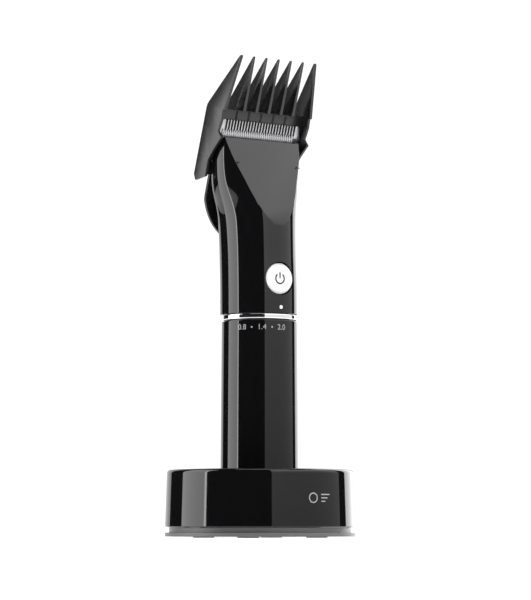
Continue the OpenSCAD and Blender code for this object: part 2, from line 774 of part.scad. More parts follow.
stand_shell();
stand_socket();
stand_base();
stand_weight();
stand_feet();
stand_screws();
stand_board();
stand_jack();
charge_pins();
front_housing();
rear_housing();
core_tube();
chrome_ring();
end_cap();
charge_pads();
battery_cell();
battery_tabs();
main_board();
tact_switch();
indicator_light();
motor_can();
motor_end_cap();
motor_bracket();
motor_screws();
housing_screws();
blade_mount();
static_blade();
blade_screws();
tension_spring();
detent_spring();
power_button();
handle_sleeve();
dial_cam();
adjust_rod();
cutter_carriage();
moving_blade();
drive_yoke();
motor_shaft();
eccentric_cam();
comb_guide();
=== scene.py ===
"""Cordless hair clipper with its comb guide, standing in a round charging stand.

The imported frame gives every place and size. This script adds the finished outer pieces, their
materials, a pale studio and the camera. Lengths are in metres, +Z is up and the front faces -Y.
"""
import logging
import math
from collections.abc import Callable, Iterator, Sequence
from contextlib import contextmanager
from dataclasses import dataclass, field
from enum import Enum

import bmesh
import bpy
from mathutils import Matrix, Vector


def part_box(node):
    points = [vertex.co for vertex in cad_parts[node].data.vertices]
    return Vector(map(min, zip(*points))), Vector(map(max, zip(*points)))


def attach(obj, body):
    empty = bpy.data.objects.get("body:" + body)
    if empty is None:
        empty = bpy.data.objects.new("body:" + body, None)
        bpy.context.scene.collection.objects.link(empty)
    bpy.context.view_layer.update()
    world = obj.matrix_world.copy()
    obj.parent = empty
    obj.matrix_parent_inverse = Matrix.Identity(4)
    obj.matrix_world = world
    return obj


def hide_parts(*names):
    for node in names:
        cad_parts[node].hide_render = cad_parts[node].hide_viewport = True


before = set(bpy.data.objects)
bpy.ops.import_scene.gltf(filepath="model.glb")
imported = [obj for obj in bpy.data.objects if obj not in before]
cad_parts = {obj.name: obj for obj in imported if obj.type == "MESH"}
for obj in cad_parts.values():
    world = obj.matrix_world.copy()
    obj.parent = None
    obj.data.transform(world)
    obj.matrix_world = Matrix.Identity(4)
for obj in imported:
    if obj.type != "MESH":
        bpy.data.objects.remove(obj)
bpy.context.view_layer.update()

LOG = logging.getLogger("hair_clipper")
MM = 0.001
MERGE = 0.002 * MM
Flat = tuple[float, float]
Colour = tuple[float, float, float]
Number = "float | Value"


# ---- Shader maths ---------------------------------------------------------------------------


class Value:
    """A shader number that adds its Math nodes where it is used in an expression."""

    def __init__(self, graph: "Graph", socket: bpy.types.NodeSocket) -> None:
        """Keeps the graph that owns the socket."""
        self.graph = graph
        self.socket = socket

    def maths(self, operation: str, first: Number, second: Number = 0.0) -> "Value":
        """Adds one Math node.

        Args:
            operation: Blender's name for the operation.
            first: The first number.
            second: The second number.

        Returns:
            The node's result.
        """
        return self.graph.node("ShaderNodeMath", {"operation": operation}, {0: first, 1: second})

    def __add__(self, other: Number) -> "Value":
        """self + other."""
        return self.maths("ADD", self, other)

    def __radd__(self, other: float) -> "Value":
        """other + self."""
        return self.maths("ADD", other, self)

    def __sub__(self, other: Number) -> "Value":
        """self - other."""
        return self.maths("SUBTRACT", self, other)

    def __rsub__(self, other: float) -> "Value":
        """other - self."""
        return self.maths("SUBTRACT", other, self)

    def __mul__(self, other: Number) -> "Value":
        """self * other."""
        return self.maths("MULTIPLY", self, other)

    def __rmul__(self, other: float) -> "Value":
        """other * self."""
        return self.maths("MULTIPLY", other, self)

    def __gt__(self, other: Number) -> "Value":
        """1 where self is above other, and 0 elsewhere."""
        return self.maths("GREATER_THAN", self, other)


class Graph:
    """The node tree of one material."""

    def __init__(self, name: str) -> None:
        """Starts an empty material of that name."""
        self.material = bpy.data.materials.new(name)
        self.material.use_nodes = True
        self.tree = self.material.node_tree
        self.tree.nodes.clear()

    def node(self, kind: str, settings: dict | None = None, inputs: dict | None = None,
             output: int | str = 0) -> Value:
        """Adds a node.

        Args:
            kind: The node's type.
            settings: Its own settings, which are set first. "stops" fills a colour ramp.
            inputs: A value or a link for each named or numbered socket.
            output: The socket that the result is read from.

        Returns:
            That socket as a Value.
        """
        made = self.tree.nodes.new(kind)
        for name, setting in (settings or {}).items():
            if name == "stops":
                for stop, (place, colour) in zip(made.color_ramp.elements, setting):
                    stop.position = place
                    stop.color = colour
            else:
                setattr(made, name, setting)
        for name, value in (inputs or {}).items():
            if isinstance(value, Value):
                self.tree.links.new(value.socket, made.inputs[name])
            else:
                made.inputs[name].default_value = value
        return Value(self, made.outputs[output] if made.outputs else None)

    def place(self, stretch: Sequence[float] = (1, 1, 1)) -> Value:
        """The surface's own coordinates, scaled by stretch."""
        here = self.node("ShaderNodeTexCoord", output="Object")
        return self.node("ShaderNodeMapping", None, {"Vector": here, "Scale": stretch})

    def noise(self, size: float, detail: float = 2.0, stretch: Sequence[float] = (1, 1, 1)) -> Value:
        """Soft noise from 0 to 1 whose blotches are about size across."""
        return self.node("ShaderNodeTexNoise", None,
                         {"Vector": self.place(stretch), "Scale": 1 / size, "Detail": detail})

    def blend(self, share: Number, first: Colour, second: Colour) -> Value:
        """A colour between first and second by share."""
        return self.node("ShaderNodeMix", {"data_type": "RGBA"},
                         {0: share, 6: (*first, 1), 7: (*second, 1)}, output=2)

    def show(self, shader: Value) -> bpy.types.Material:
        """Ends the material in that shader and gives it back."""
        self.node("ShaderNodeOutputMaterial", None, {"Surface": shader})
        return self.material


class Grain(Enum):
    """The way a surface was left by its tool."""

    POLISHED = "polished"
    MOULDED = "moulded"
    GROUND = "ground"


@dataclass(frozen=True)
class Finish:
    """One material: its colour, gloss and the marks that its making and use leave."""

    name: str
    colour: Colour
    roughness: float
    grain: Grain = Grain.MOULDED
    grain_size: float = 0.3 * MM
    grain_depth: float = 0.004 * MM
    grain_run: tuple[float, float, float] = (1, 1, 1)
    metallic: float = 0.0
    coat: float = 0.0
    mottle: float = 0.08
    patch: float = 9 * MM

    def marks(self, graph: Graph) -> tuple[Value, Value]:
        """The height of the surface's grain and what it adds to the roughness.

        Args:
            graph: The material's node tree.

        Returns:
            The height from 0 to 1, and the added roughness.
        """
        fine = graph.noise(self.grain_size, 3.0, self.grain_run)
        wide = graph.noise(self.patch, 1.0)
        if self.grain is Grain.POLISHED:
            hairline = graph.noise(0.12 * MM, 0.0, (1, 1, 0.02)) > 0.74
            rubbed = wide > 0.5
            return fine, hairline * rubbed * 0.05 + (wide - 0.5) * 0.03
        if self.grain is Grain.GROUND:
            return fine, (fine - 0.5) * 0.22 + (wide - 0.5) * 0.08
        return fine, (fine - 0.5) * 0.12 + (wide - 0.5) * 0.08

    def build(self) -> bpy.types.Material:
        """Makes the material."""
        graph = Graph(self.name)
        height, added = self.marks(graph)
        wide = graph.noise(self.patch, 2.0)
        light = tuple(min(1.0, part * (1 + self.mottle)) for part in self.colour)
        dark = tuple(part * (1 - self.mottle) for part in self.colour)
        normal = graph.node("ShaderNodeBump", None, {"Height": height, "Distance": self.grain_depth,
                                                     "Strength": 1.0})
        shader = graph.node("ShaderNodeBsdfPrincipled", None,
                            {"Base Color": graph.blend(wide, dark, light), "Metallic": self.metallic,
                             "Roughness": added + self.roughness, "Coat Weight": self.coat,
                             "Coat Roughness": 0.03, "Normal": normal})
        return graph.show(shader)


LEAN = math.radians(20)  # the blade plane and the head's facet both lean this far from upright
ALONG_BLADE = (1, 0.35, 0.05)

FINISHES = {
    "black_gloss": Finish("piano_black", (0.004, 0.004, 0.0045), 0.045, Grain.POLISHED, 5 * MM, 0.002 * MM),
    "black_satin": Finish("satin_black", (0.009, 0.009, 0.0095), 0.28, Grain.MOULDED, 0.22 * MM, 0.006 * MM),
    "stand_grey": Finish("satin_grey", (0.13, 0.13, 0.132), 0.38, Grain.MOULDED, 0.25 * MM, 0.006 * MM),
    "chrome": Finish("chrome_plate", (0.88, 0.88, 0.9), 0.07, Grain.POLISHED, 4 * MM, 0.001 * MM,
                     metallic=1.0, mottle=0.02),
    "blade_steel": Finish("ground_blade", (0.42, 0.42, 0.43), 0.36, Grain.GROUND, 0.05 * MM, 0.004 * MM,
                          ALONG_BLADE, metallic=1.0, mottle=0.05),
    "steel": Finish("plain_steel", (0.56, 0.56, 0.58), 0.32, Grain.GROUND, 0.08 * MM, 0.003 * MM,
                    (1, 1, 0.1), metallic=1.0),
    "rubber": Finish("foot_rubber", (0.03, 0.03, 0.03), 0.75, Grain.MOULDED, 0.3 * MM, 0.015 * MM),
    "pcb": Finish("board_lacquer", (0.015, 0.12, 0.045), 0.35, Grain.MOULDED, 0.6 * MM, 0.01 * MM,
                  mottle=0.3),
    "brass": Finish("gold_contact", (0.83, 0.62, 0.28), 0.22, Grain.GROUND, 0.1 * MM, 0.002 * MM,
                    metallic=1.0),
    "cell_wrap": Finish("shrink_wrap", (0.05, 0.17, 0.36), 0.3, Grain.MOULDED, 1.2 * MM, 0.02 * MM),
    "white_gloss": Finish("white_button", (0.8, 0.8, 0.81), 0.22, Grain.POLISHED, 4 * MM, 0.001 * MM,
                          coat=0.2, mottle=0.02),
    "nylon": Finish("acetal", (0.68, 0.67, 0.62), 0.42, Grain.MOULDED, 0.3 * MM, 0.006 * MM),
    "light_pipe": Finish("light_pipe", (0.85, 0.88, 0.9), 0.12, Grain.POLISHED, 2 * MM, 0.001 * MM, coat=0.6),
    "print": Finish("pale_print", (0.36, 0.36, 0.365), 0.35, Grain.MOULDED, 0.15 * MM, 0.002 * MM),
    "symbol": Finish("symbol_ink", (0.004, 0.004, 0.004), 0.4, Grain.MOULDED, 0.15 * MM, 0.002 * MM),
}
MATERIALS = {name: finish.build() for name, finish in FINISHES.items()}


# ---- Work at the bench ----------------------------------------------------------------------


def take(piece: bpy.types.Object) -> None:
    """Selects piece alone and makes it the active one."""
    bpy.ops.object.select_all(action="DESELECT")
    piece.select_set(True)
    bpy.context.view_layer.objects.active = piece


@contextmanager
def editing(piece: bpy.types.Object) -> Iterator[None]:
    """Opens piece in edit mode with everything selected, and closes it after."""
    take(piece)
    bpy.ops.object.mode_set(mode="EDIT")
    bpy.ops.mesh.select_mode(type="VERT")
    bpy.ops.mesh.select_all(action="SELECT")
    yield
    bpy.ops.object.mode_set(mode="OBJECT")


def choose(piece: bpy.types.Object, test: Callable[[Vector, Vector], bool], kind: str = "FACE") -> None:
    """Selects, in edit mode, the corners or faces that pass a test.

    Args:
        piece: The piece that is open in edit mode.
        test: Given the place and the normal, says whether to select.
        kind: VERT or FACE.
    """
    bpy.ops.mesh.select_mode(type=kind)
    bpy.ops.mesh.select_all(action="DESELECT")
    shape = bmesh.from_edit_mesh(piece.data)
    shape.normal_update()
    if kind == "FACE":
        for face in shape.faces:
            face.select_set(test(face.calc_center_median(), face.normal))
    else:
        for corner in shape.verts:
            corner.select_set(test(corner.co, corner.normal))
    shape.select_flush_mode()
    bmesh.update_edit_mesh(piece.data)


def modify(piece: bpy.types.Object, kind: str, **settings: object) -> None:
    """Adds a modifier with those settings and applies it."""
    take(piece)
    modifier = piece.modifiers.new(kind.lower(), kind)
    for name, setting in settings.items():
        setattr(modifier, name, setting)
    bpy.ops.object.modifier_apply(modifier=modifier.name)


def soften(piece: bpy.types.Object, width: float, angle: float = 30, segments: int = 3) -> None:
    """Rounds the edges that turn by more than angle degrees."""
    modify(piece, "BEVEL", width=width, segments=segments, limit_method="ANGLE",
           angle_limit=math.radians(angle), use_clamp_overlap=True, harden_normals=False)


def outline(name: str, points: Sequence[Vector], filled: bool = True) -> bpy.types.Object:
    """A closed outline through points.

    Args:
        name: The piece's name.
        points: The corners in order.
        filled: Whether the outline is a face.

    Returns:
        The piece.
    """
    fill = "NGON" if filled else "NOTHING"
    bpy.ops.mesh.primitive_circle_add(vertices=len(points), radius=MM, fill_type=fill)
    piece = bpy.context.object
    piece.name = name
    for corner, place in zip(piece.data.vertices, points):
        corner.co = place
    return piece


def slab(name: str, points: Sequence[Vector], push: Vector, edge: float = 0.12 * MM,
         segments: int = 2) -> bpy.types.Object:
    """A flat part: an outline extruded by push, with softened edges."""
    piece = outline(name, points)
    with editing(piece):
        bpy.ops.mesh.extrude_region_move(TRANSFORM_OT_translate={"value": push})
        bpy.ops.mesh.select_all(action="SELECT")
        bpy.ops.mesh.normals_make_consistent(inside=False)
    if edge:
        soften(piece, edge, 30, segments)
    return piece


def turned(name: str, profile: Sequence[Flat], steps: int = 192, centre: Flat = (0, 0)) -> bpy.types.Object:
    """A part turned about the upright axis.

    Args:
        name: The piece's name.
        profile: Its closed section as (radius, height).
        steps: The number of steps of the whole turn.
        centre: Where the axis stands.

    Returns:
        The piece.
    """
    piece = outline(name, [Vector((centre[0] + r, centre[1], z)) for r, z in profile], filled=False)
    with editing(piece):
        bpy.ops.mesh.spin(steps=steps, angle=2 * math.pi, center=(*centre, 0), axis=(0, 0, 1))
        bpy.ops.mesh.select_all(action="SELECT")
        bpy.ops.mesh.remove_doubles(threshold=MERGE)
        bpy.ops.mesh.normals_make_consistent(inside=False)
    return piece


def faced(name: str, profile: Sequence[Flat], middle: Vector, steps: int = 96) -> bpy.types.Object:
    """A part turned about an axis along Y through middle; the profile is (radius, depth)."""
    piece = outline(name, [middle + Vector((r, y, 0)) for r, y in profile], filled=False)
    with editing(piece):
        bpy.ops.mesh.spin(steps=steps, angle=2 * math.pi, center=middle, axis=(0, 1, 0))
        bpy.ops.mesh.select_all(action="SELECT")
        bpy.ops.mesh.remove_doubles(threshold=MERGE)
        bpy.ops.mesh.normals_make_consistent(inside=False)
    return piece


def sheet(name: str, columns: int, rows: int, place: Callable[[float, float], Vector],
          closed: bool = False) -> bpy.types.Object:
    """A grid whose corners are laid on a surface.

    Args:
        name: The piece's name.
        columns: Cells across.
        rows: Cells along.
        place: Gives the place for (across, along), both from 0 to 1.
        closed: Whether the two sides meet and are merged.

    Returns:
        The piece.
    """
    bpy.ops.mesh.primitive_grid_add(x_subdivisions=columns, y_subdivisions=rows, size=1)
    piece = bpy.context.object
    piece.name = name
    for corner in piece.data.vertices:
        corner.co = place(corner.co.x + 0.5, corner.co.y + 0.5)
    with editing(piece):
        if closed:
            bpy.ops.mesh.remove_doubles(threshold=MERGE)
        bpy.ops.mesh.normals_make_consistent(inside=False)
    return piece


def face_out(piece: bpy.types.Object, middle: Vector) -> None:
    """Turns the faces of a shell to the side that looks away from middle."""
    with editing(piece):
        bpy.ops.mesh.normals_make_consistent(inside=False)
    if sum(face.area * face.normal.dot(face.center - middle) for face in piece.data.polygons) < 0:
        with editing(piece):
            bpy.ops.mesh.flip_normals()


def slice_off(piece: bpy.types.Object, point: Vector, normal: Vector, fill: bool, clear: bool = True) -> None:
    """Cuts piece by a plane and, with clear, takes away the side that the normal points to."""
    with editing(piece):
        bpy.ops.mesh.bisect(plane_co=point, plane_no=normal, use_fill=fill, clear_outer=clear,
                            threshold=MERGE)


def cut(piece: bpy.types.Object, tool: bpy.types.Object) -> None:
    """Takes tool's shape out of piece."""
    modify(piece, "BOOLEAN", object=tool, operation="DIFFERENCE", solver="MANIFOLD")
    bpy.data.objects.remove(tool)


def drill(piece: bpy.types.Object, radius: float, start: Vector, end: Vector) -> None:
    """Drills a round hole from start to end."""
    run = end - start
    bpy.ops.mesh.primitive_cylinder_add(vertices=64, radius=radius, depth=run.length,
                                        location=(start + end) / 2,
                                        rotation=run.to_track_quat("Z", "Y").to_euler())
    cut(piece, bpy.context.object)


def rounded(corners: Sequence[Flat], radius: float | Sequence[float], steps: int = 4) -> list[Flat]:
    """The same closed outline with its corners rounded.

    A point stands a little before and after each rounding, so that the flats shade flat.

    Args:
        corners: The outline's corners.
        radius: One rounding, or one for each corner. It is less where an edge is short.
        steps: Points on each rounding.

    Returns:
        The rounded outline.
    """
    radii = [radius] * len(corners) if isinstance(radius, (int, float)) else radius
    made = []
    for index, here in enumerate(corners):
        corner = Vector(here)
        back = Vector(corners[index - 1]) - corner
        ahead = Vector(corners[(index + 1) % len(corners)]) - corner
        half = back.angle(ahead) / 2
        room = 0.42 * min(back.length, ahead.length)
        trim = min(radii[index] / max(math.tan(half), 0.05), room)
        first = corner + back.normalized() * trim
        last = corner + ahead.normalized() * trim
        made.append(tuple(corner + back.normalized() * trim * 1.15))
        for step in range(steps + 1):
            t = step / steps
            made.append(tuple(first * (1 - t) ** 2 + corner * 2 * t * (1 - t) + last * t * t))
        made.append(tuple(corner + ahead.normalized() * trim * 1.15))
    return made


def wrap_round(piece: bpy.types.Object, radius: float, lean: float = 0.0, base: float = 0.0) -> None:
    """Lays a flat piece, drawn on X and Z with its depth on Y, on an upright cylinder's front.

    Args:
        piece: The flat piece. Its x is measured along the surface.
        radius: The cylinder's radius at height base.
        lean: What the radius loses per unit of height above base.
        base: The height at which the radius is given.
    """
    for corner in piece.data.vertices:
        angle = corner.co.x / radius
        reach = radius - (corner.co.z - base) * lean - corner.co.y
        corner.co = Vector((reach * math.sin(angle), -reach * math.cos(angle), corner.co.z))


@dataclass
class Assembly:
    """A group of pieces that are made together."""

    made: list[str] = field(default_factory=list)

    def keep(self, piece: bpy.types.Object, body: str, slot: str, *nodes: str, look: str = "",
             smooth: float = 30) -> bpy.types.Object:
        """Finishes a piece and hands it to the frame.

        Args:
            piece: The finished mesh.
            body: The CAD body that it rides on.
            slot: The record's material slot.
            nodes: The CAD nodes that it stands for.
            look: Another finish than the slot's own.
            smooth: The angle up to which faces shade as one surface.

        Returns:
            The piece.
        """
        take(piece)
        bpy.ops.object.transform_apply(location=True, rotation=True, scale=True)
        bpy.ops.object.shade_smooth_by_angle(angle=math.radians(smooth))
        piece.data.name = piece.name
        piece.data.materials.clear()
        piece.data.materials.append(MATERIALS[look or slot])
        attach(piece, body)
        if nodes:
            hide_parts(*nodes)
        self.made.append(piece.name)
        LOG.info("%s rides on %s in %s", piece.name, body, look or slot)
        return piece


# ---- Stand ----------------------------------------------------------------------------------


@dataclass
class Stand(Assembly):
    """The round charging stand: the shell round the frame's socket, the base plate and a plain mark on its
    front.
    """

    wall: float = 2.4 * MM
    lip: float = 1.8 * MM
    inner_lip: float = 0.5 * MM
    foot_edge: float = 0.35 * MM
    inlet: float = 4.6 * MM
    rim: float = 2.5 * MM
    band_r: float = 42.5 * MM
    plate_h: float = 1.9 * MM
    pocket_r: float = 5.05 * MM
    pocket_top: float = 0.9 * MM
    counterbore_r: float = 3.2 * MM
    counterbore_top: float = 1.2 * MM
    boss_ring: float = 34 * MM
    foot_ring: float = 27 * MM
    screw_angles: tuple[int, ...] = (150, 270, 30)
    mark_height: float = 18.2 * MM
    mark_raise: float = 0.04 * MM

    def __post_init__(self) -> None:
        """Reads the frame's own sizes."""
        low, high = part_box("stand_shell")
        self.shell_low, self.top = low.z, high.z
        self.foot_r = high.x
        self.top_r = self.foot_r - 0.85 * MM
        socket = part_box("stand_socket")
        self.cup_r = 18.95 * MM
        self.socket_top = socket[1].z
        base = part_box("stand_base")
        self.plate_low, self.plate_r, self.band_top = base[0].z, base[1].x, base[1].z
        self.jack_z = (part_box("stand_jack")[0].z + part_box("stand_jack")[1].z) / 2

    def shell(self) -> None:
        """The high-gloss shell with its rounded top edge and the inlet's hole."""
        piece = turned("stand_shell_skin", self.shell_section(), 256)
        reach = Vector((0, self.foot_r, self.jack_z))
        drill(piece, self.inlet, reach - Vector((0, 8 * MM, 0)), reach + Vector((0, 4 * MM, 0)))
        self.keep(piece, "stand", "black_gloss", "stand_shell", smooth=35)

    def shell_section(self) -> list[Flat]:
        """The shell's section with a rounding of its own at each corner."""
        under = self.socket_top + 0.05 * MM
        corners = [(self.cup_r, under), (self.cup_r, self.top), (self.top_r, self.top),
                   (self.foot_r, self.shell_low), (self.foot_r - self.wall, self.shell_low),
                   (self.top_r - self.wall, under)]
        radii = (0.1 * MM, self.inner_lip, self.lip, self.foot_edge, self.foot_edge, 0.6 * MM)
        return rounded(corners, radii, 6)

    def base(self) -> None:
        """The grey base plate with its set-back band, foot pockets and screw holes."""
        band_r = self.band_r
        plate_top = self.plate_low + self.plate_h
        floor = plate_top + 0.2 * MM
        section = rounded([(0, self.plate_low), (self.plate_r, self.plate_low), (self.plate_r, plate_top),
                           (band_r, plate_top), (band_r, self.band_top), (band_r - self.rim, self.band_top),
                           (band_r - self.rim, floor), (0, floor)], 0.3 * MM, 3)
        section = [(max(r, 0.0), z) for r, z in section]
        piece = turned("stand_base_plate", section, 256)
        for index in range(4):
            self.sink(piece, 45 + 90 * index, self.foot_ring, self.pocket_r, self.pocket_top)
        for degrees in self.screw_angles:
            self.sink(piece, degrees, self.boss_ring, self.counterbore_r, self.counterbore_top)
        self.keep(piece, "stand", "stand_grey", "stand_base")

    def sink(self, piece: bpy.types.Object, degrees: float, ring: float, radius: float, top: float) -> None:
        """Sinks a round hole into the base plate from below.

        Args:
            piece: The base plate.
            degrees: The bearing of the hole.
            ring: How far its middle stands from the axis.
            radius: The hole's radius.
            top: Its top above the plate's underside.
        """
        angle = math.radians(degrees)
        spot = Vector((math.cos(angle), math.sin(angle), 0)) * ring
        drill(piece, radius, spot - Vector((0, 0, MM)), spot + Vector((0, 0, self.plate_low + top)))

    def mark(self) -> None:
        """A plain printed mark: a ring and three short strokes."""
        ring = 2.4 * MM
        line = 0.5 * MM
        wheel = faced("mark_ring", [(ring - line, 0), (ring, 0), (ring, -self.mark_raise),
                                    (ring - line, -self.mark_raise)],
                      Vector((0, 0, self.mark_height)), 48)
        strokes = []
        for index, length in enumerate((5.2, 3.8, 2.4)):
            left = ring + 2.2 * MM
            z = self.mark_height + (1 - index) * 1.55 * MM
            stroke = sheet(f"mark_stroke_{index + 1}", 12, 1, lambda across, along:
                           Vector((left + length * MM * across, 0, z + (along - 0.5) * line)))
            with editing(stroke):
                bpy.ops.mesh.extrude_region_move(TRANSFORM_OT_translate={"value": (0, -self.mark_raise, 0)})
                bpy.ops.mesh.select_all(action="SELECT")
                bpy.ops.mesh.normals_make_consistent(inside=False)
            strokes.append(stroke)
        lean = (self.foot_r - self.top_r) / (self.top - self.shell_low)
        for piece in (wheel, *strokes):
            wrap_round(piece, self.foot_r + 0.005 * MM, lean, self.shell_low)
            self.keep(piece, "stand", "stand_grey", look="print")

    def build(self) -> None:
        """Makes the stand's pieces."""
        self.shell()
        self.base()
        self.mark()


# ---- Grip -----------------------------------------------------------------------------------


@dataclass
class Grip(Assembly):
    """The turning sleeve with its length scale, and the chrome ring above it."""

    edge: float = 0.45 * MM
    scale_height: float = 97.5 * MM
    figure_height: float = 2.5 * MM
    figure_step: float = 15.3
    ink: float = 0.03 * MM
    dot: float = 0.42 * MM
    bore_r: float = 16.2 * MM
    top_r: float = 18 * MM
    ring_bore_r: float = 15.25 * MM

    def sleeve(self) -> None:
        """The glossy sleeve, straight in the socket and slightly tapered above it."""
        low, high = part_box("handle_sleeve")
        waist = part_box("stand_shell")[1].z
        corners = [(self.bore_r, low.z), (high.x, low.z), (high.x, waist), (self.top_r, high.z),
                   (self.bore_r, high.z)]
        piece = turned("grip_sleeve", rounded(corners, self.edge, 4), 224)
        self.keep(piece, "dial", "black_gloss", "handle_sleeve", smooth=35)
        self.taper = (high.x - self.top_r) / (high.z - waist)
        self.foot_r = high.x
        self.waist = waist

    def figures(self) -> None:
        """The cut lengths in millimetres, with a dot for each step between them."""
        radius = self.foot_r - (self.scale_height - self.waist) * self.taper
        for index, text in enumerate(("2.0", ".", "1.4", ".", "0.8")):
            offset = -radius * math.radians(self.figure_step * index)
            if text == ".":
                turns = [step * math.pi / 12 for step in range(24)]
                points = [Vector((offset + self.dot * math.cos(turn), 0,
                                  self.scale_height + self.dot * math.sin(turn))) for turn in turns]
                piece = slab(f"dial_dot_{index}", points, Vector((0, -self.ink, 0)), 0)
            else:
                piece = self.figure(text, index, offset)
            wrap_round(piece, radius + 0.004 * MM, self.taper, self.scale_height)
            self.keep(piece, "dial", "black_gloss", look="print")

    def figure(self, text: str, index: int, offset: float) -> bpy.types.Object:
        """One printed number as a thin mesh.

        Args:
            text: The number.
            index: Its place on the scale.
            offset: How far round the grip its middle stands.

        Returns:
            The piece, still flat.
        """
        bpy.ops.object.text_add(rotation=(math.pi / 2, 0, 0))
        piece = bpy.context.object
        piece.data.body = text
        piece.data.size = self.figure_height / 0.7
        piece.data.extrude = self.ink / 2
        piece.data.align_x = "CENTER"
        piece.data.align_y = "CENTER"
        take(piece)
        bpy.ops.object.convert(target="MESH")
        bpy.ops.object.transform_apply(location=True, rotation=True, scale=True)
        piece.name = f"dial_figure_{index}"
        piece.data.transform(Matrix.Translation((offset, 0, self.scale_height)))
        with editing(piece):
            bpy.ops.mesh.remove_doubles(threshold=MERGE)
        return piece

    def ring(self) -> None:
        """The chrome ring with rolled edges."""
        low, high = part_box("chrome_ring")
        corners = [(self.ring_bore_r, low.z), (high.x, low.z), (high.x, high.z), (self.ring_bore_r, high.z)]
        piece = turned("chrome_band", rounded(corners, 0.4 * MM, 5), 224)
        self.keep(piece, "clipper", "chrome", "chrome_ring", smooth=50)

    def build(self) -> None:
        """Makes the grip's pieces."""
        self.sleeve()
        self.figures()
        self.ring()


# ---- Blade plane ----------------------------------------------------------------------------


@dataclass
class BladePlane:
    """The leaning plane of the blades, with its origin at the middle of the static tooth tips."""

    plate: float = 1.0 * MM

    def __post_init__(self) -> None:
        """Finds the origin from the static blade."""
        low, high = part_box("static_blade")
        self.tip_y = low.y
        self.tip_z = high.z - self.plate * math.sin(LEAN)
        self.across = Vector((0, math.cos(LEAN), math.sin(LEAN)))
        self.up = Vector((0, -math.sin(LEAN), math.cos(LEAN)))

    def at(self, x: float, w: float, s: float) -> Vector:
        """The place at x across, w behind the blade's face and s along it, all in millimetres."""
        return Vector((x * MM, self.tip_y, self.tip_z)) + self.across * w * MM + self.up * s * MM


# ---- Head -----------------------------------------------------------------------------------


